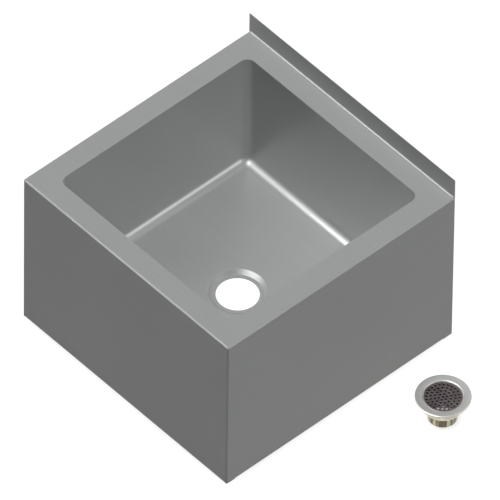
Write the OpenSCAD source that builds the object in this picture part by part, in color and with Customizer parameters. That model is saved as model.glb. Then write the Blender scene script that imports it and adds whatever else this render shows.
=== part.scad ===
// Floor-mounted mop service sink of folded and welded stainless sheet, with its loose drain fitting.
// +X is to the right as seen from the front, +Y towards the wall, +Z up. The origin is on the floor,
// in the plane of the sink's back, midway between its sides. All sizes are in millimetres.

/* [Body] */
// Overall width, side to side
body_w = 609.6; // [570:0.1:900]
// Overall depth, front to back
body_d = 609.6; // [585:0.1:900]
// Height of the deck above the floor
body_h = 403.2; // [360:0.1:600]
// Thickness of the sheet
sheet = 1.5; // [1:0.1:2.5]
// Inside radius of the folded outer edges and corners
edge_bend = 2.5; // [1.5:0.1:6]
// Height of the backsplash above the deck
splash_h = 50.8; // [30:0.1:250]
// Inside radius where the backsplash rises from the deck
splash_bend = 4; // [2:0.1:8]

/* [Bowl] */
// Inside width of the bowl
bowl_w = 508; // [420:0.1:550]
// Inside depth of the bowl, front to back
bowl_d = 508; // [420:0.1:530]
// Depth of the bowl below the deck
bowl_depth = 304.8; // [200:0.1:340]
// Width of the deck between the bowl and the wall side
back_rim = 50.8; // [35:0.1:75]
// Inside radius of the bowl's corners and coves
cove_r = 19.05; // [10:0.05:32]

/* [Drain recess] */
// Diameter of the hole for the drain fitting
hole_d = 88.9; // [80:0.1:100]
// Width of the flat seat round the hole
seat_w = 7.25; // [4:0.05:12]
// Width of the sloping step round the seat
step_w = 10.5; // [9:0.1:16]
// Depth of the seat below the bowl's floor
recess_depth = 8.5; // [6.5:0.1:9]
// Inside radius of the two bends of that step
step_bend = 2; // [1:0.1:2.4]

/* [Base] */
// Width of the flat flanges that the skirts stand on
foot_flange = 19; // [10:0.5:30]
// Inside radius of the bend above those flanges
foot_bend = 1.5; // [1:0.1:4]
// Length of the two square sides of a corner gusset
gusset_leg = 110; // [60:1:180]
// Width of the flange that holds the rear skirt under the deck
top_flange = 15; // [8:0.5:20]

/* [Cross members] */
// Distance between the middles of the two cross members
channel_spread = 260; // [210:1:330]
// Depth of a cross member's channel
channel_h = 22; // [10:0.5:30]
// Width of a cross member's crown
crown_w = 30; // [16:0.5:40]
// Width of each of its two flanges
brim_w = 15; // [8:0.5:20]

/* [Drain fitting] */
// Distance of the fitting's middle from the sink's right side
fitting_side = 153; // [80:1:300]
// Distance of the fitting's middle from the wall side
fitting_front = 165; // [60:1:500]
// Clearance between the fitting's thread and the hole, on radius
hole_gap = 1.55; // [0.5:0.05:2.5]
// How far the flange reaches past the hole's edge
flange_lap = 12.7; // [10:0.1:18]
// Thickness of the flange at its edge
flange_t = 4; // [3:0.1:6]
// How far the flange's top falls from its rim to the mouth
flange_dish = 1.5; // [0.5:0.1:2.5]
// Width of the flat rim round the dished top
rim_w = 1.2; // [0.5:0.1:3]
// Length of the straight threaded wall under the flange
thread_len = 19; // [18:0.1:30]
// Outside diameter of the outlet tail
tail_d = 60.3; // [48:0.1:62]
// Length of the straight tail
tail_len = 25.5; // [15:0.1:45]
// Thickness of the wall of the tail
tail_wall = 2.75; // [1.5:0.05:4]
// Thickness of the wall of the cup
cup_wall = 3.5; // [2.6:0.1:4]
// Width of the ledge that the strainer lies on
ledge_w = 1.8; // [1.2:0.1:2.2]
// Depth of the ledge below the flange's top
ledge_depth = 7; // [5.5:0.1:9]

/* [Strainer plate] */
// Thickness of the strainer plate
plate_t = 1.2; // [0.8:0.1:1.6]
// Height of the plate with its turned-down rim
plate_h = 4; // [3:0.1:5]
// Inside radius of the bend at its rim
plate_bend = 1.4; // [0.8:0.1:1.8]
// Clearance round the plate
plate_gap = 0.25; // [0.15:0.05:0.6]
// Diameter of its round holes
perf_d = 5.6; // [4:0.1:6.4]
// Distance between the rings of holes
perf_step = 8.3; // [7.6:0.1:8.6]

/* [Nut and washers] */
// Thickness of the rubber gasket
gasket_t = 3; // [2:0.1:4]
// Width of the gasket's ring
gasket_w = 10.5; // [8:0.1:12]
// Thickness of the friction ring
ring_t = 1; // [0.5:0.1:1.5]
// Thickness of the locknut
nut_t = 8; // [5:0.1:8]
// Width of the locknut's ring
nut_w = 7; // [5:0.1:10]
// Running clearance of the nut on its thread, on radius
nut_gap = 0.08; // [0.05:0.01:0.1]
// Clearance of the two washers round the thread, on radius
washer_gap = 0.4; // [0.2:0.05:0.8]

/* [Hidden] */
$fn = 64;

steel = [0.62, 0.63, 0.63];
raw_steel = [0.55, 0.56, 0.57];
nickel = [0.74, 0.72, 0.64];
dark_nickel = [0.26, 0.24, 0.25];
rubber = [0.10, 0.10, 0.10];
fibre = [0.55, 0.42, 0.30];

// Outside radii of the bends
edge_r = edge_bend + sheet;
foot_r = foot_bend + sheet;
splash_r = splash_bend + sheet;

// Levels and places of the sink
half_w = body_w / 2;
bowl_y = -back_rim - bowl_d / 2;
floor_z = body_h - bowl_depth;
flat_w = bowl_w / 2 - cove_r;
flat_d = bowl_d / 2 - cove_r;
// Gap left between neighbouring flanges in a corner
corner_gap = 1;

// Radii of the drain recess, and the slope of its step, which touches both bends
hole_r = hole_d / 2;
seat_r = hole_r + seat_w;
recess_r = seat_r + step_w;
step_r = step_bend + sheet;
step_rise = recess_depth - step_bend - step_r;
step_slope = atan(step_rise / step_w) + asin((step_bend + step_r) / norm([step_w, step_rise]));

// Radii and levels of the drain fitting, measured up from the floor that it stands on
thread_r = hole_r - hole_gap;
flange_r = hole_r + flange_lap;
tail_r = tail_d / 2;
// The cup's round bottom runs a little under the tail's own wall
tuck = 1.25;
curve_r = thread_r - tail_r + tuck;
curve_z = tail_len + curve_r;
flange_z = curve_z + thread_len;
fitting_h = flange_z + flange_t;
ledge_z = fitting_h - ledge_depth;
cup_r = thread_r - cup_wall;
pocket_r = cup_r + ledge_w;
lip_r = flange_t * 0.45;
mouth_r = 2;
// The dished top's edge and slope, and the middle of the round mouth that it runs into
dish_r = flange_r - lip_r - rim_w;
dish_slope = atan(flange_dish / (dish_r - pocket_r));
mouth_c = [pocket_r + mouth_r,
           fitting_h - (mouth_r + (dish_r - pocket_r - mouth_r) * sin(dish_slope)) / cos(dish_slope)];
tail_chamfer = 1;
plate_r = pocket_r - plate_gap;
gasket_z = flange_z - gasket_t;
ring_z = gasket_z - ring_t;
nut_z = ring_z - nut_t;
nut_r = thread_r + nut_gap + nut_w;
nut_notches = 8;
notch_w = 9;
notch_depth = 2.5;
// Rings of holes in the strainer plate, past the one in its middle, and the holes added by each
perf_rings = 4;
perf_sides = 6;
// How far cutting shapes stand past what they cut
over = 1;
// Steps along an arc that is drawn point by point
arc_steps = 8;

// ---------- Shapes that repeat ----------

// A band of an arc round the origin, from angle a0 to a1, drawn flat
module arc_band(r_in, r_out, a0, a1) {
    reach = 2 * r_out;
    mid = (a0 + a1) / 2;
    intersection() {
        difference() {
            circle(r_out);
            circle(r_in);
        }
        polygon([[0, 0], reach * [cos(a0), sin(a0)], reach * [cos(mid), sin(mid)],
                 reach * [cos(a1), sin(a1)]]);
    }
}

// Points along an arc with its middle at c
function arc_points(c, r, a0, a1) =
    [for (i = [0 : arc_steps]) c + r * [cos(a0 + (a1 - a0) * i / arc_steps), sin(a0 + (a1 - a0) * i / arc_steps)]];

// The cross-section of a folded edge: a quarter turn of sheet with outside radius r
module fold(r, a0) {
    arc_band(r - sheet, r, a0, a0 + 90);
}

// A cross-section drawn as (y, z), run from x0 to x1
module run_x(x0, x1) {
    translate([x0, 0, 0]) rotate([90, 0, 90]) linear_extrude(x1 - x0) children();
}

// A cross-section drawn as (x, z), run from y0 to y1
module run_y(y0, y1) {
    translate([0, y1, 0]) rotate([90, 0, 0]) linear_extrude(y1 - y0) children();
}

// A flat plate between two corners
module plate(low, high) {
    translate(low) cube(high - low);
}

// One eighth of a hollow ball of sheet, where three folded edges meet, facing +X, +Y and down
module ball_corner(r) {
    rotate_extrude(angle = 90) fold(r, -90);
}

// A rectangle with round corners, centred
module round_rect(w, d, r) {
    square([w - 2 * r, d], center = true);
    square([w, d - 2 * r], center = true);
    for (x = [-1, 1], y = [-1, 1])
        translate([x * (w / 2 - r), y * (d / 2 - r)]) circle(r);
}

// A ring round the fitting's axis
module ring(r_in, r_out, z, h) {
    translate([0, 0, z]) difference() {
        cylinder(r = r_out, h = h);
        translate([0, 0, -over]) cylinder(r = r_in, h = h + 2 * over);
    }
}

// Places its children at the bowl's middle
module at_bowl() {
    translate([0, bowl_y, 0]) children();
}

// Places its children on the axis of the loose drain fitting
module at_fitting() {
    translate([half_w + fitting_side, -fitting_front, 0]) children();
}

// ---------- Deck and backsplash ----------

module deck() {
    x1 = half_w - edge_r;
    y0 = -body_d + edge_r;
    color(steel) union() {
        difference() {
            plate([-x1, y0, body_h - sheet], [x1, -splash_r, body_h]);
            at_bowl() translate([0, 0, body_h - sheet - over]) linear_extrude(sheet + 2 * over)
                round_rect(bowl_w, bowl_d, cove_r);
        }
        run_x(-x1, x1) translate([y0, body_h - edge_r]) fold(edge_r, 90);
        for (side = [-1, 1]) {
            mirror([side < 0 ? 1 : 0, 0, 0]) {
                run_y(y0, -sheet) translate([x1, body_h - edge_r]) fold(edge_r, 0);
                translate([x1, y0, body_h - edge_r]) rotate([180, 0, 0]) ball_corner(edge_r);
            }
        }
    }
}

module backsplash() {
    x1 = half_w - edge_r;
    color(steel) union() {
        run_x(-x1, x1) union() {
            translate([-sheet, body_h + splash_bend]) square([sheet, splash_h - splash_bend]);
            translate([-splash_r, body_h + splash_bend]) fold(splash_r, -90);
        }
        for (x = [-half_w, x1])
            plate([x, -sheet, body_h - edge_r], [x + edge_r, 0, body_h + splash_h]);
    }
}

// ---------- Bowl ----------

// The bowl's cross-section through its floor and two opposite walls, w wide inside
module trough(w) {
    top = body_h - sheet - floor_z;
    flat = w / 2 - cove_r;
    translate([-flat, floor_z - sheet]) square([2 * flat, sheet]);
    for (side = [-1, 1]) {
        mirror([side < 0 ? 1 : 0, 0]) {
            translate([flat, floor_z + cove_r]) fold(cove_r + sheet, -90);
            translate([w / 2, floor_z + cove_r]) square([sheet, top - cove_r]);
        }
    }
}

// The stamped drain recess: a sloping step with two round bends down to a flat seat, with a little
// of the flat floor round it, which joins it to the rest of the sheet
module drain_recess() {
    seat_z = floor_z - recess_depth;
    rim_c = [recess_r, floor_z - step_r];
    seat_c = [seat_r, seat_z + step_bend];
    rotate_extrude() polygon(concat(
        [[recess_r + over, floor_z]],
        arc_points(rim_c, step_r, 90, 90 + step_slope),
        arc_points(seat_c, step_bend, -90 + step_slope, -90),
        [[hole_r, seat_z], [hole_r, seat_z - sheet]],
        arc_points(seat_c, step_r, -90, -90 + step_slope),
        arc_points(rim_c, step_bend, 90 + step_slope, 90),
        [[recess_r + over, floor_z - sheet]]));
}

module bowl_wrap() {
    color(steel) at_bowl() union() {
        difference() {
            run_x(-flat_w, flat_w) trough(bowl_d);
            translate([0, 0, floor_z - sheet - over]) cylinder(r = recess_r, h = sheet + 2 * over);
        }
        drain_recess();
    }
}

// An end wall of the bowl with its coved edges, on the +X side of the bowl
module bowl_end() {
    wall_z = floor_z + cove_r;
    out_r = cove_r + sheet;
    at_bowl() union() {
        translate([0, 0, wall_z]) linear_extrude(body_h - sheet - wall_z) intersection() {
            difference() {
                round_rect(bowl_w + 2 * sheet, bowl_d + 2 * sheet, out_r);
                round_rect(bowl_w, bowl_d, cove_r);
            }
            translate([flat_w, -bowl_d]) square([bowl_w, 2 * bowl_d]);
        }
        run_y(-flat_d, flat_d) translate([flat_w, wall_z]) fold(out_r, -90);
        for (side = [-1, 1])
            mirror([0, side < 0 ? 1 : 0, 0]) translate([flat_w, flat_d, wall_z]) ball_corner(out_r);
    }
}

module bowl_left_end() {
    color(steel) mirror([1, 0, 0]) bowl_end();
}

module bowl_right_end() {
    color(steel) bowl_end();
}

// ---------- Skirts ----------

// The foot of a skirt that stands at u = 0 and whose inside is towards -u
module foot_profile() {
    translate([-foot_r, foot_r]) fold(foot_r, -90);
    translate([-foot_r - foot_flange, 0]) square([foot_flange, sheet]);
}

module front_apron() {
    x1 = half_w - edge_r;
    top = body_h - edge_r;
    color(steel) union() {
        run_x(-x1, x1) translate([-body_d, 0]) mirror([1, 0]) union() {
            foot_profile();
            translate([-sheet, foot_r]) square([sheet, top - foot_r]);
        }
        for (side = [-1, 1]) {
            mirror([side < 0 ? 1 : 0, 0, 0])
                translate([x1, -body_d + edge_r, 0]) linear_extrude(top) fold(edge_r, -90);
        }
    }
}

// A side skirt, on the +X side. Its foot stops short of the feet of the front and rear skirts
module side_apron() {
    top = body_h - edge_r;
    foot_end = foot_r + foot_flange + corner_gap;
    union() {
        plate([half_w - sheet, -body_d + edge_r, foot_r], [half_w, 0, top]);
        for (y = [[-body_d + edge_r, -body_d + foot_end], [-foot_end, 0]])
            plate([half_w - sheet, y[0], 0], [half_w, y[1], foot_r]);
        run_y(-body_d + foot_end, -foot_end) translate([half_w, 0]) foot_profile();
    }
}

module left_apron() {
    color(steel) mirror([1, 0, 0]) side_apron();
}

module right_apron() {
    color(steel) side_apron();
}

module rear_apron() {
    x1 = half_w - edge_r;
    top = body_h - sheet - edge_r;
    color(steel) union() {
        run_x(-x1, x1) union() {
            foot_profile();
            translate([-sheet, foot_r]) square([sheet, top - foot_r]);
            translate([-edge_r, top]) fold(edge_r, 0);
            translate([-edge_r - top_flange, body_h - 2 * sheet]) square([top_flange, sheet]);
        }
        for (x = [[-half_w + sheet, -x1], [x1, half_w - sheet]])
            plate([x[0], -sheet, 0], [x[1], 0, top]);
    }
}

// ---------- Stiffening under the deck ----------

// A gusset with its square corner at the +X, -Y corner of the foot
module gusset() {
    x1 = half_w - foot_r;
    y0 = -body_d + foot_r;
    translate([0, 0, sheet]) linear_extrude(sheet)
        polygon([[x1, y0], [x1, y0 + gusset_leg], [x1 - gusset_leg, y0]]);
}

// The same gusset seen from the wall side
module rear_gusset() {
    translate([0, -body_d, 0]) mirror([0, 1, 0]) gusset();
}

module front_left_gusset() {
    color(raw_steel) mirror([1, 0, 0]) gusset();
}

module front_right_gusset() {
    color(raw_steel) gusset();
}

module rear_left_gusset() {
    color(raw_steel) mirror([1, 0, 0]) rear_gusset();
}

module rear_right_gusset() {
    color(raw_steel) rear_gusset();
}

// A hat-section cross member under the bowl's floor, from the front skirt to the rear skirt
module channel() {
    top = floor_z - sheet;
    half = crown_w / 2;
    run_y(-body_d + sheet, -sheet) union() {
        translate([-half, top - channel_h]) square([crown_w, sheet]);
        for (side = [-1, 1]) {
            mirror([side < 0 ? 1 : 0, 0]) {
                translate([half - sheet, top - channel_h]) square([sheet, channel_h]);
                translate([half - sheet, top - sheet]) square([brim_w + sheet, sheet]);
            }
        }
    }
}

module left_channel() {
    color(raw_steel) translate([-channel_spread / 2, 0, 0]) channel();
}

module right_channel() {
    color(raw_steel) translate([channel_spread / 2, 0, 0]) channel();
}

// ---------- Drain fitting ----------

// The outside of the fitting: tail, round-bottomed cup, threaded wall and flange
module fitting_outline() {
    square([tail_r - tail_chamfer, curve_z]);
    translate([0, tail_chamfer]) square([tail_r, curve_z - tail_chamfer]);
    polygon([[0, 0], [tail_r - tail_chamfer, 0], [tail_r, tail_chamfer], [0, tail_chamfer]]);
    translate([thread_r - curve_r, curve_z]) intersection() {
        circle(curve_r);
        translate([0, -curve_r]) square(curve_r);
    }
    translate([0, tail_len]) square([thread_r - curve_r, curve_r]);
    translate([0, curve_z]) square([thread_r, thread_len + over]);
    translate([0, flange_z]) square([flange_r - lip_r, flange_t]);
    translate([0, flange_z + lip_r]) square([flange_r, flange_t - 2 * lip_r]);
    for (z = [flange_z + lip_r, fitting_h - lip_r])
        translate([flange_r - lip_r, z]) circle(lip_r);
}

// The inside of the fitting: tail bore, cup, and the pocket that the strainer drops into
module fitting_hollow() {
    inner_r = curve_r - cup_wall;
    translate([0, -over]) square([tail_r - tail_wall, curve_z + over]);
    translate([0, curve_z - inner_r]) square([thread_r - curve_r, inner_r]);
    translate([thread_r - curve_r, curve_z]) intersection() {
        circle(inner_r);
        translate([0, -inner_r]) square(inner_r);
    }
    translate([0, curve_z]) square([cup_r, fitting_h - curve_z + over]);
    translate([0, ledge_z]) square([pocket_r, ledge_depth + over]);
    difference() {
        polygon([[0, mouth_c[1]], mouth_c, mouth_c + mouth_r * [-sin(dish_slope), cos(dish_slope)],
                 [dish_r, fitting_h], [dish_r, fitting_h + over], [0, fitting_h + over]]);
        translate(mouth_c) circle(mouth_r);
    }
}

module strainer_body() {
    color(nickel) at_fitting() rotate_extrude() difference() {
        fitting_outline();
        fitting_hollow();
    }
}

module flange_gasket() {
    color(rubber) at_fitting()
        ring(thread_r + washer_gap, thread_r + washer_gap + gasket_w, gasket_z, gasket_t);
}

module friction_ring() {
    color(fibre) at_fitting() ring(thread_r + washer_gap, nut_r - notch_depth, ring_z, ring_t);
}

module locknut() {
    color(nickel) at_fitting() difference() {
        ring(thread_r + nut_gap, nut_r, nut_z, nut_t);
        for (i = [0 : nut_notches - 1])
            rotate(i * 360 / nut_notches) translate([nut_r - notch_depth, -notch_w / 2, nut_z - over])
                cube([nut_w, notch_w, nut_t + 2 * over]);
    }
}

module flat_strainer() {
    bend_out = plate_bend + plate_t;
    color(dark_nickel) at_fitting() translate([0, 0, ledge_z]) difference() {
        rotate_extrude() {
            translate([0, plate_h - plate_t]) square([plate_r - bend_out, plate_t]);
            translate([plate_r - bend_out, plate_h - bend_out]) arc_band(plate_bend, bend_out, 0, 90);
            translate([plate_r - plate_t, 0]) square([plate_t, plate_h - bend_out]);
        }
        for (i = [0 : perf_rings], k = [0 : max(1, perf_sides * i) - 1])
            rotate(k * 360 / max(1, perf_sides * i)) translate([i * perf_step, 0, -over])
                cylinder(d = perf_d, h = plate_h + 2 * over, $fn = 24);
    }
}

deck();
backsplash();
bowl_wrap();
bowl_left_end();
bowl_right_end();
front_apron();
left_apron();
right_apron();
rear_apron();
front_left_gusset();
front_right_gusset();
rear_left_gusset();
rear_right_gusset();
left_channel();
right_channel();
strainer_body();
flange_gasket();
flat_strainer();
friction_ring();
locknut();
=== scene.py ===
"""Floor-mounted mop service sink of folded stainless sheet, with its loose drain fitting beside it.

Metres, +X to the right as seen from the front, +Y towards the wall, +Z up, origin on the floor in
the plane of the sink's back.
"""

import math

import bmesh
import bpy
from mathutils import Matrix, Vector
from mathutils.geometry import delaunay_2d_cdt


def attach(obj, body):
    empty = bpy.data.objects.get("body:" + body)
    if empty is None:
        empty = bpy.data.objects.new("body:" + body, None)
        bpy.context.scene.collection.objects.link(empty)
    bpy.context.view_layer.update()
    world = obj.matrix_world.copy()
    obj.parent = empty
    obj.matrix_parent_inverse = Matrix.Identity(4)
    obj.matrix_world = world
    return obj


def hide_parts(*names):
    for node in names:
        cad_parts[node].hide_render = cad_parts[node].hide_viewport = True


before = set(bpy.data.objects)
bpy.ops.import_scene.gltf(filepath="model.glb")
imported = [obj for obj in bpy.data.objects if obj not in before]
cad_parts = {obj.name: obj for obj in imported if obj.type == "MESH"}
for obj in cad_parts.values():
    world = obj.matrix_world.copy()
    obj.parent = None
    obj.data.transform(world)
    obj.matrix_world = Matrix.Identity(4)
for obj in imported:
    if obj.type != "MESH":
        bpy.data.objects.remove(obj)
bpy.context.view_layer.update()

# ---------- Camera ----------

CAMERA_LENS = 1600.0
CAMERA_SENSOR = 36.0
CAMERA_CLIP = (0.5, 200.0)
CAMERA_DISTANCE = 44.2025
CAMERA_AIM = Vector((0.13722, -0.39949, 0.403))
CAMERA_AZIMUTH = math.radians(47.2804)
CAMERA_ELEVATION = math.radians(47.7164)
CAMERA_ROLL = math.radians(-0.7782)


def make_camera():
    """A long lens from far away, so that the view is as good as parallel."""
    level = Vector((math.cos(CAMERA_AZIMUTH), math.sin(CAMERA_AZIMUTH), 0.0))
    back = Vector((
        math.sin(CAMERA_AZIMUTH) * math.cos(CAMERA_ELEVATION),
        -math.cos(CAMERA_AZIMUTH) * math.cos(CAMERA_ELEVATION),
        math.sin(CAMERA_ELEVATION),
    ))
    upright = back.cross(level)
    right = level * math.cos(CAMERA_ROLL) - upright * math.sin(CAMERA_ROLL)
    up = upright * math.cos(CAMERA_ROLL) + level * math.sin(CAMERA_ROLL)
    data = bpy.data.cameras.new("camera")
    data.lens = CAMERA_LENS
    data.sensor_width = CAMERA_SENSOR
    data.clip_start, data.clip_end = CAMERA_CLIP
    camera = bpy.data.objects.new("camera", data)
    turn = Matrix((right, up, back)).transposed().to_4x4()
    camera.matrix_world = Matrix.Translation(CAMERA_AIM + back * CAMERA_DISTANCE) @ turn
    bpy.context.scene.collection.objects.link(camera)
    bpy.context.scene.camera = camera


make_camera()

# ---------- Turned and pressed pieces of the drain fitting ----------

# Where the fitting's upright middle line stands, and its sizes, in millimetres. R is a radius, T a
# thickness, H a height, W a width, and LOW, HIGH, TOP, MIDDLE and Z are heights above the floor
FITTING = (457.8, -165.0)
FITTING_H = 62.5
THREAD_R = 42.9
THREAD_LOW, THREAD_HIGH = 39.5, 58.5
THREAD_PITCH = 2.1167
THREAD_DEPTH = 0.6
THREAD_FADE_LOW, THREAD_FADE_HIGH = 1.2, 0.8
TAIL_R, TAIL_BORE_R = 30.15, 27.4
TAIL_MIDDLE = 12.0
TAIL_CHAMFER = 1.0
TAIL_BORE_CHAMFER = 0.3
CUP_CURVE_R = 14.0
CUP_WALL = 3.5
CUP_EDGE_R = 0.5
FLANGE_R = 57.15
FLANGE_DISH = 1.5
LIP_R = 1.8
POCKET_R, LEDGE_R, LEDGE_Z = 41.2, 39.4, 55.5
POCKET_CORNER = 0.2
LEDGE_EDGE_R = 0.3
DISH_R = 54.15
MOUTH_R = 2.0

PLATE_R = 40.95
PLATE_T = 1.2
PLATE_BEND = 1.4
PLATE_TOP = 59.5
PLATE_EDGE = 0.15
HOLE_R = 2.8
HOLE_ROUND = 0.4
HOLE_BREAK = 0.1
RINGS, RING_STEP = 4, 8.3

NUT_IN, NUT_OUT = 42.98, 49.98
NUT_LOW, NUT_HIGH = 46.5, 54.5
NUT_BEVEL = 0.5
NOTCHES, NOTCH_W, NOTCH_DEPTH = 8, 9.0, 2.5

SEAL_BORE_R = 43.3
WASHER_R, WASHER_TOP, WASHER_EDGE = 47.48, 55.5, 0.15
GASKET_R, GASKET_EDGE = 53.8, 0.5

# How many points go round the turned pieces, the plate, and each of its holes
COLUMNS, PLATE_COLUMNS, HOLE_COLUMNS = 160, 144, 32

# Faces that meet at more than this keep a sharp edge between them
SHARP = math.radians(35)


def place(radius, angle, z):
    """A point round the fitting's middle line, in metres."""
    return ((FITTING[0] + radius * math.cos(angle)) / 1000,
            (FITTING[1] + radius * math.sin(angle)) / 1000, z / 1000)


def arc(middle, radius, start, end, steps):
    """Points on an arc in the plane of a lathe profile, angles in degrees, both ends included."""
    turns = [math.radians(start + (end - start) * i / steps) for i in range(steps + 1)]
    return [(middle[0] + radius * math.cos(t), middle[1] + radius * math.sin(t)) for t in turns]


def rounded(profile, radius, steps=3):
    """A closed profile with each of its corners rounded."""
    points = []
    for i, corner in enumerate(profile):
        corner = Vector(corner)
        before = (Vector(profile[i - 1]) - corner).normalized()
        after = (Vector(profile[(i + 1) % len(profile)]) - corner).normalized()
        half = before.angle(after) / 2
        middle = corner + (before + after).normalized() * radius / math.sin(half)
        start = corner + before * radius / math.tan(half) - middle
        end = corner + after * radius / math.tan(half) - middle
        for k in range(steps + 1):
            points.append(tuple(middle + start.lerp(end, k / steps).normalized() * radius))
    return points


def new_piece(name, vertices, faces, body, slot, node):
    """A piece that rides on a body and stands for a CAD node."""
    mesh = bpy.data.meshes.new(name)
    mesh.from_pydata(vertices, [], faces)
    work = bmesh.new()
    work.from_mesh(mesh)
    bmesh.ops.remove_doubles(work, verts=work.verts, dist=1e-7)
    bmesh.ops.dissolve_degenerate(work, edges=work.edges, dist=1e-7)
    bmesh.ops.recalc_face_normals(work, faces=work.faces)
    work.to_mesh(mesh)
    work.free()
    mesh.shade_smooth()
    mesh.set_sharp_from_angle(angle=SHARP)
    piece = bpy.data.objects.new(name, mesh)
    bpy.context.scene.collection.objects.link(piece)
    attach(piece, body)
    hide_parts(node)
    return piece


def lathe(profile, closed):
    """The points and faces of a profile of radii and heights turned round the middle line."""
    angles = [2 * math.pi * j / COLUMNS for j in range(COLUMNS)]
    vertices = [place(radius, angle, z) for radius, z in profile for angle in angles]
    faces = []
    for i in range(len(profile) if closed else len(profile) - 1):
        this, following = i * COLUMNS, (i + 1) % len(profile) * COLUMNS
        for j in range(COLUMNS):
            k = (j + 1) % COLUMNS
            faces.append((this + j, this + k, following + k, following + j))
    return vertices, faces


def seal_ring(name, radius, low, high, edge, *placing):
    """A flat ring round the wall, with its edges rounded."""
    corners = [(SEAL_BORE_R, low), (radius, low), (radius, high), (SEAL_BORE_R, high)]
    vertices, faces = lathe(rounded(corners, edge), closed=True)
    return new_piece(name, vertices, faces, *placing)


def make_drain_body():
    """The turned body: flange, wall with a cut thread, cup and tail."""
    slope = math.atan(FLANGE_DISH / (DISH_R - POCKET_R))
    rise = (MOUTH_R + (DISH_R - POCKET_R - MOUTH_R) * math.sin(slope)) / math.cos(slope)
    mouth = (POCKET_R + MOUTH_R, FITTING_H - rise)
    lip = FLANGE_R - LIP_R
    curve = (THREAD_R - CUP_CURVE_R, THREAD_LOW)
    meets = -math.degrees(math.acos((TAIL_R - curve[0]) / CUP_CURVE_R))
    # The points a few millimetres in from an edge keep the flats' shading flat
    profile = [(THREAD_R, THREAD_HIGH), (THREAD_R + 4, THREAD_HIGH), (lip - 3, THREAD_HIGH)]
    profile += arc((lip, THREAD_HIGH + LIP_R), LIP_R, -90, 0, 6)
    profile += arc((lip, FITTING_H - LIP_R), LIP_R, 0, 90, 6)
    profile += [(DISH_R + 0.25, FITTING_H), (DISH_R - 0.25, FITTING_H - 0.25 * math.tan(slope))]
    profile += [(DISH_R - 5, FITTING_H - 5 * math.tan(slope))]
    profile += arc(mouth, MOUTH_R, 90 + math.degrees(slope), 180, 8)
    profile += [(POCKET_R, LEDGE_Z + POCKET_CORNER), (POCKET_R - POCKET_CORNER, LEDGE_Z)]
    profile += arc((LEDGE_R + LEDGE_EDGE_R, LEDGE_Z - LEDGE_EDGE_R), LEDGE_EDGE_R, 90, 180, 3)
    profile += [(LEDGE_R, THREAD_LOW + 6)]
    profile += arc(curve, CUP_CURVE_R - CUP_WALL, 0, -90, 10)
    shelf = THREAD_LOW - CUP_CURVE_R + CUP_WALL
    profile += arc((TAIL_BORE_R + CUP_EDGE_R, shelf - CUP_EDGE_R), CUP_EDGE_R, 90, 180, 3)
    profile += [(TAIL_BORE_R, TAIL_MIDDLE), (TAIL_BORE_R, TAIL_BORE_CHAMFER),
                (TAIL_BORE_R + TAIL_BORE_CHAMFER, 0.0)]
    profile += [(TAIL_R - TAIL_CHAMFER, 0.0), (TAIL_R - 0.85 * TAIL_CHAMFER, 0.06 * TAIL_CHAMFER),
                (TAIL_R - 0.06 * TAIL_CHAMFER, 0.85 * TAIL_CHAMFER), (TAIL_R, TAIL_CHAMFER)]
    profile += [(TAIL_R, TAIL_MIDDLE)]
    profile += arc(curve, CUP_CURVE_R, meets, 0, 14)
    vertices, faces = lathe(profile, closed=False)

    # The thread is one helical ridge: each row of points climbs by a pitch in a turn, and the rows
    # before and after the wall fold up on its two edges, where the groove has faded away. Each pair
    # in the groove is a share of the pitch and a share of the depth
    groove = [(0.0, 0.0), (0.05, 0.0), (0.20, 0.0), (0.25, 0.1), (0.50, 0.9), (0.55, 1.0),
              (0.66, 1.0), (0.71, 0.9), (0.95, 0.1)]
    turns = math.ceil((THREAD_HIGH - THREAD_LOW) / THREAD_PITCH) + 2
    first = len(vertices)
    for turn in range(turns):
        for phase, depth in groove:
            for j in range(COLUMNS):
                z = THREAD_LOW + THREAD_PITCH * (turn - 1 + phase + j / COLUMNS)
                z = min(max(z, THREAD_LOW), THREAD_HIGH)
                fade = min(1.0, (z - THREAD_LOW) / THREAD_FADE_LOW,
                           (THREAD_HIGH - z) / THREAD_FADE_HIGH)
                radius = THREAD_R - THREAD_DEPTH * depth * fade
                vertices.append(place(radius, 2 * math.pi * j / COLUMNS, z))
    rows = turns * len(groove)
    for i in range(rows - 1):
        for j in range(COLUMNS):
            k, step = (j + 1, 0) if j + 1 < COLUMNS else (0, len(groove))
            if i + 1 + step < rows:
                faces.append((first + i * COLUMNS + j, first + (i + step) * COLUMNS + k,
                              first + (i + 1 + step) * COLUMNS + k, first + (i + 1) * COLUMNS + j))
    return new_piece("drain_body_turned", vertices, faces, "drain", "satin_nickel", "strainer_body")


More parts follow.
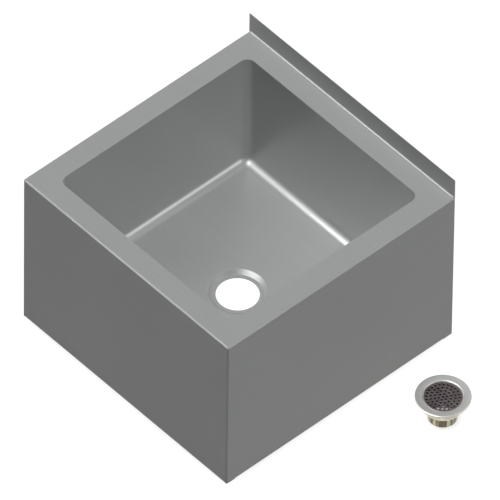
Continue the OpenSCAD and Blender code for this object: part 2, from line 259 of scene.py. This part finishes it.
def make_strainer_plate():
    """The perforated plate: punched holes with drawn edges, and a turned-down rim."""
    outer = PLATE_BEND + PLATE_T
    flat = PLATE_R - outer
    centres = [(0.0, 0.0)]
    for ring in range(1, RINGS + 1):
        radius, count = ring * RING_STEP, 6 * ring
        for turn in (2 * math.pi * k / count for k in range(count)):
            centres.append((radius * math.cos(turn), radius * math.sin(turn)))
    vertices, faces = [], []

    def circle(middle, radius, count):
        turns = [2 * math.pi * j / count for j in range(count)]
        return [(middle[0] + radius * math.cos(t), middle[1] + radius * math.sin(t)) for t in turns]

    def sheet_with_holes(z, hole_radius):
        """A flat round face with its holes, and the numbers of the points on each of its edges."""
        points = circle((0, 0), flat, PLATE_COLUMNS)
        loops = [list(range(PLATE_COLUMNS))]
        for middle in centres:
            start = len(points)
            points += circle(middle, hole_radius, HOLE_COLUMNS)
            loops.append(list(range(start, start + HOLE_COLUMNS)))
        edges = [(loop[i], loop[(i + 1) % len(loop)]) for loop in loops for i in range(len(loop))]
        found, _, triangles, originals, _, _ = delaunay_2d_cdt(
            [Vector(point) for point in points], edges, [], 0, 1e-6)
        renumbered = {old: new for new, olds in enumerate(originals) for old in olds}
        base = len(vertices)
        vertices.extend((x, y, z) for x, y in found)
        for triangle in triangles:
            x = sum(found[v][0] for v in triangle) / 3
            y = sum(found[v][1] for v in triangle) / 3
            if math.hypot(x, y) > flat:
                continue
            if min(math.hypot(x - a, y - b) for a, b in centres) < hole_radius:
                continue
            faces.append(tuple(base + v for v in triangle))
        return [[base + renumbered[old] for old in loop] for loop in loops]

    def band(one, other):
        """Faces between two rings of points."""
        for j in range(len(one)):
            k = (j + 1) % len(one)
            faces.append((one[j], one[k], other[k], other[j]))

    def ring_of(points, z):
        start = len(vertices)
        vertices.extend((x, y, z) for x, y in points)
        return list(range(start, start + len(points)))

    def bands(last, middle, columns, profile):
        """Bands from a ring of points down a profile; gives the last ring."""
        for radius, z in profile:
            ring = ring_of(circle(middle, radius, columns), z)
            band(last, ring)
            last = ring
        return last

    top_rim, *top_holes = sheet_with_holes(PLATE_TOP, HOLE_R + HOLE_ROUND)
    under_rim, *under_holes = sheet_with_holes(PLATE_TOP - PLATE_T, HOLE_R + HOLE_BREAK)
    hole = arc((HOLE_R + HOLE_ROUND, PLATE_TOP - HOLE_ROUND), HOLE_ROUND, 90, 180, 4)[1:]
    hole += [(HOLE_R, PLATE_TOP - PLATE_T + HOLE_BREAK)]
    for middle, top, under in zip(centres, top_holes, under_holes):
        band(bands(top, middle, HOLE_COLUMNS, hole), under)
    rim = arc((flat, PLATE_TOP - outer), outer, 90, 0, 6)[1:]
    inner_r = PLATE_R - PLATE_T
    rim += [(PLATE_R, LEDGE_Z + PLATE_EDGE), (PLATE_R - PLATE_EDGE, LEDGE_Z),
            (inner_r + PLATE_EDGE, LEDGE_Z), (inner_r, LEDGE_Z + PLATE_EDGE)]
    rim += arc((flat, PLATE_TOP - outer), PLATE_BEND, 0, 90, 5)[:-1]
    band(bands(top_rim, (0, 0), PLATE_COLUMNS, rim), under_rim)
    moved = [((FITTING[0] + x) / 1000, (FITTING[1] + y) / 1000, z / 1000) for x, y, z in vertices]
    piece = new_piece("perforated_plate", moved, faces,
                      "strainer", "strainer_metal", "flat_strainer")
    keeps = piece.modifiers.new("flats", "WEIGHTED_NORMAL")
    keeps.keep_sharp = True
    return piece


def make_locknut():
    """The ring nut, with a notch in each eighth of its rim for a spanner, and softened edges."""
    notch_floor = NUT_OUT - NOTCH_DEPTH
    corner = math.atan2(NOTCH_W / 2, notch_floor)
    edge = math.asin(NOTCH_W / 2 / NUT_OUT)
    span = 2 * math.pi / NOTCHES - 2 * edge
    steps = 16
    rim = []
    for k in range(NOTCHES):
        middle = 2 * math.pi * k / NOTCHES
        across = (-corner, -corner / 3, corner / 3, corner)
        rim += [(notch_floor / math.cos(t), middle + t) for t in across]
        rim += [(NUT_OUT, middle + edge + span * i / steps) for i in range(steps + 1)]
    count = len(rim)
    vertices = []
    for z in (NUT_LOW, NUT_HIGH):
        vertices += [place(radius, angle, z) for radius, angle in rim]
        # The bore's points stand as nearly as they can behind the rim's
        vertices += [place(NUT_IN, 2 * math.pi * (i - 1.5) / count, z) for i in range(count)]
    faces = []
    for i in range(count):
        k = (i + 1) % count
        low_out, low_in, high_out, high_in = ((base + i, base + k) for base in
                                              (0, count, 2 * count, 3 * count))
        faces.append((low_out[0], low_out[1], high_out[1], high_out[0]))
        faces.append((low_in[1], low_in[0], high_in[0], high_in[1]))
        faces.append((high_out[0], high_out[1], high_in[1], high_in[0]))
        faces.append((low_out[1], low_out[0], low_in[0], low_in[1]))
    mesh = bpy.data.meshes.new("nut_blank")
    mesh.from_pydata(vertices, [], faces)
    work = bmesh.new()
    work.from_mesh(mesh)
    work.normal_update()
    edges = [e for e in work.edges if e.calc_face_angle(0) > math.radians(40)]
    bmesh.ops.bevel(work, geom=edges, offset=NUT_BEVEL / 1000, segments=3, profile=0.5,
                    affect="EDGES", clamp_overlap=True)
    work.verts.ensure_lookup_table()
    vertices = [tuple(v.co) for v in work.verts]
    faces = [tuple(v.index for v in f.verts) for f in work.faces]
    work.free()
    bpy.data.meshes.remove(mesh)
    return new_piece("ring_nut", vertices, faces, "clamp_nut", "nut_metal", "locknut")


drain_body = make_drain_body()
strainer_plate = make_strainer_plate()
ring_nut = make_locknut()
gasket = seal_ring("rubber_gasket", GASKET_R, WASHER_TOP, THREAD_HIGH, GASKET_EDGE,
                   "drain", "gasket_rubber", "flange_gasket")
fibre_ring = seal_ring("fibre_washer", WASHER_R, NUT_HIGH, WASHER_TOP, WASHER_EDGE,
                       "friction_washer", "washer_fibre", "friction_ring")

# ---------- Node helpers ----------


class Graph:
    """A small helper for building a node tree."""

    def __init__(self, tree):
        self.tree = tree
        tree.nodes.clear()

    def add(self, kind, inputs=None, **settings):
        node = self.tree.nodes.new(kind)
        for name, value in settings.items():
            setattr(node, name, value)
        for name, value in (inputs or {}).items():
            socket = node.inputs[name]
            if isinstance(value, bpy.types.NodeSocket):
                self.tree.links.new(value, socket)
            else:
                socket.default_value = value
        return node

    def math(self, operation, a, b=0.0, c=0.0, clamp=False):
        node = self.add("ShaderNodeMath", {0: a, 1: b, 2: c}, operation=operation, use_clamp=clamp)
        return node.outputs[0]

    def remap(self, value, low, high, to_low=0.0, to_high=1.0, smooth=False):
        """A value carried over from one range to another, and held at the range's ends."""
        node = self.add(
            "ShaderNodeMapRange",
            {"Value": value, "From Min": low, "From Max": high,
             "To Min": to_low, "To Max": to_high},
            interpolation_type="SMOOTHSTEP" if smooth else "LINEAR",
        )
        return node.outputs["Result"]

    def mix(self, factor, a, b):
        """A mix of two colours."""
        node = self.add("ShaderNodeMix", data_type="RGBA")
        for index, value in ((0, factor), (6, a), (7, b)):
            if isinstance(value, bpy.types.NodeSocket):
                self.tree.links.new(value, node.inputs[index])
            else:
                node.inputs[index].default_value = value
        return node.outputs[2]

    def noise(self, vector, scale, detail=2.0, roughness=0.5):
        node = self.add(
            "ShaderNodeTexNoise",
            {"Vector": vector, "Scale": scale, "Detail": detail, "Roughness": roughness},
        )
        return node.outputs["Fac"]

    def stretched(self, vector, scales):
        """A vector with each of its parts scaled by itself."""
        node = self.add("ShaderNodeVectorMath", {0: vector, 1: scales}, operation="MULTIPLY")
        return node.outputs["Vector"]

    def toned(self, colour, tone):
        """A colour scaled by one number."""
        node = self.add("ShaderNodeVectorMath", {0: colour, 3: tone}, operation="SCALE")
        return node.outputs["Vector"]


def new_material(name):
    material = bpy.data.materials.new(name)
    material.use_nodes = True
    return material, Graph(material.node_tree)


def finish_material(graph, base, roughness, height, distance, constants):
    """The shader and its output, with bump from a height in units of distance."""
    bump = graph.add("ShaderNodeBump", {"Strength": 1.0, "Distance": distance, "Height": height})
    shader = graph.add("ShaderNodeBsdfPrincipled", {
        "Base Color": base, "Roughness": roughness, "Normal": bump.outputs["Normal"]})
    for name, value in constants.items():
        shader.inputs[name].default_value = value
    graph.add("ShaderNodeOutputMaterial", {"Surface": shader.outputs["BSDF"]})


def rgb(r, g, b):
    return (r, g, b, 1.0)


# ---------- Materials ----------

# The bowl's polished sheet, the satin one of the deck, backsplash and skirts, and the plain mill
# finish out of sight. The backsplash's and skirts' copies of the sheet are darker in colour than
# the deck's: painted shade on their upright faces
BOWL_SHEET = dict(base=(0.316, 0.322, 0.319), metallic=0.3, roughness=0.37)
DECK_SHEET = dict(base=(0.316, 0.322, 0.319), metallic=0.17, roughness=0.62)
SPLASH_SHEET_PAINTED_SHADE = dict(base=(0.250, 0.255, 0.252), metallic=0.26, roughness=0.53)
SKIRT_SHEET_PAINTED_SHADE = dict(base=(0.284, 0.289, 0.286), metallic=0.17, roughness=0.62)
MILL_SHEET = dict(base=(0.262, 0.266, 0.270), metallic=0.3, roughness=0.52)

# The fitting's colours
# Coppery is a painted reflection, put under the flange's lip
FLANGE_NICKEL, LIP_PAINTED_REFLECTION = rgb(0.375, 0.382, 0.372), rgb(0.47, 0.33, 0.27)
CUP_BELOW, CUP_ABOVE = rgb(0.50, 0.53, 0.42), rgb(0.60, 0.57, 0.49)
# The tail's dark bands are painted reflections on its bright plate
TAIL_PAINTED_DARK_REFLECTION, TAIL_BRIGHT = rgb(0.13, 0.11, 0.065), rgb(0.50, 0.46, 0.33)
# The dark of the hollow inside the fitting is painted shade
HOLLOW_PAINTED_SHADE = rgb(0.020, 0.018, 0.017)
# The plate's dark colour is a painted reflection; its paler hole edges are a painted highlight
PLATE_PAINTED_DARK_REFLECTION, PLATE_PALER = rgb(0.080, 0.063, 0.070), rgb(0.116, 0.097, 0.101)
PLATE_PAINTED_HIGHLIGHT = rgb(0.36, 0.33, 0.32)

# Where one finish of the fitting gives way to the next, and where the painted reflection under the
# lip, the painted shade of the hollow and the painted highlights of the plate's hole edges lie: by
# height, by radius, or by the distance from the middle of the curve of the cup's hollow, in metres
FLANGE_FROM = (0.0584, 0.0588)
LIP_BELOW, LIP_OUTSIDE = (0.0621, 0.0606), (0.050, 0.052)
CUP_CHANGE = (0.030, 0.050)
TAIL_BELOW = (0.0285, 0.0235)
HOLLOW_WITHIN, BORE_INSIDE, HOLLOW_BELOW = (0.0124, 0.0121), (0.0289, 0.0286), (0.0556, 0.0553)
PLATE_BELOW_TOP = (0.05946, 0.0592)


def brushed_sheet(name, along, seed, base, metallic, roughness):
    """Sheet with the fine straight grain of a belt polish, running along X, Y or Z."""
    material, g = new_material(name)
    spot = g.add("ShaderNodeTexCoord").outputs["Object"]
    moved = (seed, seed * 1.7, seed * 0.6)
    spot = g.add("ShaderNodeVectorMath", {0: spot, 1: moved}, operation="ADD").outputs["Vector"]

    def grain(long_scale, cross_scale, detail):
        scales = [cross_scale] * 3
        scales["XYZ".index(along)] = long_scale
        return g.noise(g.stretched(spot, tuple(scales)), 1.0, detail)

    fine = grain(14.0, 1400.0, 3.0)
    coarse = grain(5.0, 260.0, 2.0)
    clouds = g.noise(spot, 7.0, 3.0)
    tone = g.math("ADD", g.remap(fine, 0.25, 0.75, -0.03, 0.03),
                  g.remap(coarse, 0.3, 0.7, -0.015, 0.015))
    tone = g.math("ADD", tone, g.remap(clouds, 0.3, 0.7, 0.99, 1.01))
    colour = g.toned(base, tone)
    rough = g.math("ADD", g.remap(fine, 0.25, 0.75, roughness - 0.05, roughness + 0.05),
                   g.remap(clouds, 0.3, 0.7, -0.02, 0.02))
    finish_material(g, colour, rough, fine, 0.00002,
                    {"Metallic": metallic, "Specular IOR Level": 0.2})
    return material


def round_the_fitting(g):
    """The point seen from the foot of the fitting's middle line: whole, its radius, its parts."""
    spot = g.add("ShaderNodeTexCoord").outputs["Object"]
    middle = (FITTING[0] / 1000, FITTING[1] / 1000, 0.0)
    local = g.add("ShaderNodeVectorMath", {0: spot, 1: middle}, operation="SUBTRACT")
    local = local.outputs["Vector"]
    parts = g.add("ShaderNodeSeparateXYZ", {"Vector": local}).outputs
    square = g.math("ADD", g.math("MULTIPLY", parts["X"], parts["X"]),
                    g.math("MULTIPLY", parts["Y"], parts["Y"]))
    radius = g.math("SQRT", square)
    return local, radius, parts["X"], parts["Y"], parts["Z"]


def turned_lines(g, radius, x, y, z, across, along):
    """Noise in fine rings, as a lathe or a spinning buff leaves them."""
    scale = g.math("DIVIDE", along, radius)
    vector = g.add("ShaderNodeCombineXYZ", {
        "X": g.math("MULTIPLY", g.math("ADD", radius, z), across),
        "Y": g.math("MULTIPLY", g.math("SUBTRACT", radius, z), across),
        "Z": g.math("MULTIPLY", g.math("ARCTAN2", x, y), scale)})
    return g.noise(vector.outputs["Vector"], 1.0, 3.0)


def turned_nickel(name):
    """Nickel plate on turned brass: satin flange, paler cup, bright tail, dull inside.

    The dark bands on the tail and the coppery tint under the lip are painted reflections, and
    the dark inside is painted shade.
    """
    material, g = new_material(name)
    _, radius, x, y, z = round_the_fitting(g)
    fine = turned_lines(g, radius, x, y, z, 2200.0, 0.02)
    broad = turned_lines(g, radius, x, y, z, 320.0, 0.02)
    flange = g.remap(z, *FLANGE_FROM)
    # The coppery painted reflection lies under the flange's lip, out from the wall
    lip = g.math("MULTIPLY", g.remap(z, *LIP_BELOW, smooth=True), g.remap(radius, *LIP_OUTSIDE))
    lip = g.math("MULTIPLY", lip, flange)
    tail = g.remap(z, *TAIL_BELOW, smooth=True)
    # Dark bands painted round the tail stand in for dark surroundings reflected in it: painted
    # reflection
    painted_reflection_spot = g.add("ShaderNodeCombineXYZ", {
        "X": g.math("DIVIDE", x, radius), "Y": g.math("DIVIDE", y, radius),
        "Z": g.math("MULTIPLY", z, 3.0)})
    painted_reflection_streaks = g.noise(painted_reflection_spot.outputs["Vector"], 3.4, 2.0, 0.6)
    painted_reflection_streaks = g.remap(painted_reflection_streaks, 0.42, 0.62, smooth=True)
    cup = g.mix(g.remap(z, *CUP_CHANGE, smooth=True), CUP_BELOW, CUP_ABOVE)
    tail_with_painted_reflections = g.mix(painted_reflection_streaks, TAIL_BRIGHT, TAIL_PAINTED_DARK_REFLECTION)
    outside = g.mix(tail, cup, tail_with_painted_reflections)
    top = g.mix(lip, FLANGE_NICKEL, LIP_PAINTED_REFLECTION)
    colour = g.mix(flange, outside, top)
    # The hollow of the cup and the bore are painted dark, a painted shade inside the fitting. The
    # hollow of the cup is nearer than the middle of the wall to the middle of the curve of its
    # round bottom, and the bore is nearer to the middle line
    curve_r, curve_z = (THREAD_R - CUP_CURVE_R) / 1000, THREAD_LOW / 1000
    past = g.math("MAXIMUM", g.math("SUBTRACT", radius, curve_r), 0.0)
    below = g.math("MAXIMUM", g.math("SUBTRACT", curve_z, z), 0.0)
    reach = g.math("ADD", g.math("MULTIPLY", past, past), g.math("MULTIPLY", below, below))
    reach = g.math("SQRT", reach)
    hollow = g.math("MAXIMUM", g.remap(reach, *HOLLOW_WITHIN), g.remap(radius, *BORE_INSIDE))
    hollow = g.math("MULTIPLY", hollow, g.remap(z, *HOLLOW_BELOW))
    colour = g.mix(hollow, colour, HOLLOW_PAINTED_SHADE)
    tone = g.math("ADD", g.remap(fine, 0.25, 0.75, 0.95, 1.05),
                  g.remap(broad, 0.3, 0.7, -0.04, 0.04))
    colour = g.toned(colour, tone)
    rough = g.remap(tail, 0.0, 1.0, 0.46, 0.20)
    rough = g.math("ADD", rough, g.remap(fine, 0.25, 0.75, -0.05, 0.05))
    rough = g.math("ADD", rough, g.math("MULTIPLY", lip, 0.22))
    rough = g.math("ADD", rough, g.math("MULTIPLY", hollow, 0.4), clamp=True)
    finish_material(g, colour, rough, fine, 0.00001, {"Metallic": 1.0})
    return material


def dark_plate(name):
    """The strainer's satin plate.

    Its dark colour is a painted reflection of dark surroundings, and the drawn edges of its holes
    are painted paler as a painted highlight.
    """
    material, g = new_material(name)
    local, _, _, _, z = round_the_fitting(g)
    clouds = g.noise(local, 90.0, 3.0)
    fine = g.noise(g.stretched(local, (900.0, 160.0, 160.0)), 1.0, 3.0)
    # Painted highlights: the drawn edges of the holes are painted paler
    edge = g.remap(z, *PLATE_BELOW_TOP, smooth=True)
    colour = g.mix(g.remap(clouds, 0.35, 0.65), PLATE_PAINTED_DARK_REFLECTION, PLATE_PALER)
    colour = g.mix(g.math("MULTIPLY", edge, 0.55), colour, PLATE_PAINTED_HIGHLIGHT)
    colour = g.toned(colour, g.remap(fine, 0.25, 0.75, 0.93, 1.07))
    rough = g.math("ADD", g.remap(clouds, 0.3, 0.7, 0.42, 0.50),
                   g.remap(fine, 0.25, 0.75, -0.03, 0.03))
    finish_material(g, colour, rough, fine, 0.000008,
                    {"Metallic": 0.5, "Specular IOR Level": 0.2})
    return material


def grainy(name, base, speck, roughness, scale, distance, metallic=0.0):
    """Rubber, fibre or a plated casting: a fine even grain with a little speckle."""
    material, g = new_material(name)
    spot = g.add("ShaderNodeTexCoord").outputs["Object"]
    grain = g.noise(spot, scale, 4.0, 0.6)
    clouds = g.noise(spot, scale / 14.0, 2.0)
    colour = g.mix(g.remap(grain, 0.45, 0.68, smooth=True), base, speck)
    colour = g.toned(colour, g.remap(clouds, 0.3, 0.7, 0.93, 1.07))
    rough = g.math("ADD", g.remap(grain, 0.3, 0.7, roughness - 0.05, roughness + 0.05),
                   g.remap(clouds, 0.3, 0.7, -0.03, 0.03))
    finish_material(g, colour, rough, grain, distance, {"Metallic": metallic})
    return material


def assign(material, *nodes):
    for name in nodes:
        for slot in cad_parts[name].material_slots:
            slot.material = material


assign(brushed_sheet("sheet_deck", "X", 0.0, **DECK_SHEET), "deck")
# The backsplash's darker sheet colour is painted shade
assign(brushed_sheet("sheet_splash_painted_shade", "X", 2.2, **SPLASH_SHEET_PAINTED_SHADE), "backsplash")
assign(brushed_sheet("sheet_bowl", "X", 3.1, **BOWL_SHEET), "bowl_wrap")
assign(brushed_sheet("sheet_bowl_ends", "Y", 5.3, **BOWL_SHEET), "bowl_left_end", "bowl_right_end")
# The skirts' darker sheet colour is painted shade
assign(brushed_sheet("sheet_front_painted_shade", "X", 8.9, **SKIRT_SHEET_PAINTED_SHADE), "front_apron", "rear_apron")
assign(brushed_sheet("sheet_sides_painted_shade", "Y", 12.7, **SKIRT_SHEET_PAINTED_SHADE), "left_apron", "right_apron")
assign(brushed_sheet("mill_gussets", "X", 17.3, **MILL_SHEET),
       "front_left_gusset", "front_right_gusset", "rear_left_gusset", "rear_right_gusset")
assign(brushed_sheet("mill_channels", "Y", 21.9, **MILL_SHEET), "left_channel", "right_channel")
drain_body.data.materials.append(turned_nickel("turned_nickel"))
strainer_plate.data.materials.append(dark_plate("dark_plate"))
ring_nut.data.materials.append(grainy(
    "cast_nut", rgb(0.44, 0.43, 0.385), rgb(0.37, 0.36, 0.32),
    roughness=0.42, scale=1500.0, distance=0.00003, metallic=1.0))
gasket.data.materials.append(grainy(
    "gasket_rubber", rgb(0.022, 0.022, 0.023), rgb(0.045, 0.044, 0.043),
    roughness=0.62, scale=1800.0, distance=0.00002))
fibre_ring.data.materials.append(grainy(
    "washer_fibre", rgb(0.36, 0.22, 0.12), rgb(0.50, 0.36, 0.24),
    roughness=0.82, scale=1200.0, distance=0.00003))

# ---------- Floor, world and lamps ----------

# The floor lies a hair below the feet. It has its own colour, the dimmer one that its bounce on the
# object has, and a glow that makes the lit floor white. The glow fades to its least close to the
# object, as the floor's openness within the reach goes down between the two numbers
FLOOR_HALF, FLOOR_Z = 60.0, -0.0003
FLOOR_ALBEDO, FLOOR_BOUNCE = 0.35, 0.08
FLOOR_GLOW_LEAST, FLOOR_GLOW = 0.05, 0.78
SHADE_REACH, SHADE_OPENNESS = 0.085, (0.15, 0.62)

AMBIENT = 0.05


def seen_directly(g):
    """The light path, and 1 for rays from the camera or from glossy or clear surfaces, else 0."""
    path = g.add("ShaderNodeLightPath").outputs
    seen = g.math("MAXIMUM", path["Is Camera Ray"], path["Is Glossy Ray"])
    return path, g.math("MAXIMUM", seen, path["Is Transmission Ray"])


def make_floor():
    mesh = bpy.data.meshes.new("floor")
    signs = ((-1, -1), (1, -1), (1, 1), (-1, 1))
    mesh.from_pydata([(x * FLOOR_HALF, y * FLOOR_HALF, 0) for x, y in signs], [], [(0, 1, 2, 3)])
    floor = bpy.data.objects.new("floor", mesh)
    floor.location.z = FLOOR_Z
    bpy.context.scene.collection.objects.link(floor)
    material, g = new_material("floor")
    path, seen = seen_directly(g)
    near = g.add("ShaderNodeAmbientOcclusion", {"Distance": SHADE_REACH}, samples=16)
    strength = g.remap(near.outputs["AO"], *SHADE_OPENNESS, FLOOR_GLOW_LEAST, FLOOR_GLOW)
    glow = g.add("ShaderNodeEmission", {
        "Color": rgb(1, 1, 1), "Strength": g.math("MULTIPLY", seen, strength)})
    albedo = g.remap(path["Is Diffuse Ray"], 0.0, 1.0, FLOOR_ALBEDO, FLOOR_BOUNCE)
    lit = g.add("ShaderNodeBsdfDiffuse", {"Color": albedo})
    both = g.add("ShaderNodeAddShader", {0: lit.outputs[0], 1: glow.outputs[0]})
    g.add("ShaderNodeOutputMaterial", {"Surface": both.outputs[0]})
    mesh.materials.append(material)


def make_world():
    """A faint even light, which is seen as white."""
    world = bpy.data.worlds.new("world")
    world.use_nodes = True
    g = Graph(world.node_tree)
    _, seen = seen_directly(g)
    strength = g.remap(seen, 0.0, 1.0, AMBIENT, 1.0)
    sky = g.add("ShaderNodeBackground", {"Color": rgb(1, 1, 1), "Strength": strength})
    g.add("ShaderNodeOutputWorld", {"Surface": sky.outputs[0]})
    bpy.context.scene.world = world


def make_sun(name, azimuth, elevation, level, spread, highlights):
    """A distant soft lamp, from azimuth degrees round from the front towards the right.

    It either makes highlights or lights the colours: at level 1 a surface that faces it then shows
    its colour as written.
    """
    turn, rise = math.radians(azimuth), math.radians(elevation)
    reach = math.cos(rise)
    towards = Vector((math.sin(turn) * reach, -math.cos(turn) * reach, math.sin(rise)))
    data = bpy.data.lights.new(name, "SUN")
    data.energy = level * math.pi
    data.angle = math.radians(spread)
    data.use_shadow = False
    data.cycles.use_multiple_importance_sampling = highlights
    lamp = bpy.data.objects.new(name, data)
    lamp.rotation_euler = towards.to_track_quat("Z", "Y").to_euler()
    lamp.visible_diffuse = not highlights
    lamp.visible_glossy = highlights
    bpy.context.scene.collection.objects.link(lamp)


make_floor()
make_world()
make_sun("lamp_top", 0, 90, 0.27, 50, highlights=False)
make_sun("lamp_right", 118, 45, 0.56, 40, highlights=False)
make_sun("lamp_left", -130, 45, 0.11, 50, highlights=False)
make_sun("shine_front", -14, 35, 3.2, 60, highlights=True)
make_sun("shine_left", -76, 8, 1.1, 36, highlights=True)
make_sun("shine_right", 117, 3, 0.60, 26, highlights=True)
make_sun("shine_back", -133, 33, 0.10, 50, highlights=True)

bpy.context.scene.view_settings.view_transform = "Standard"
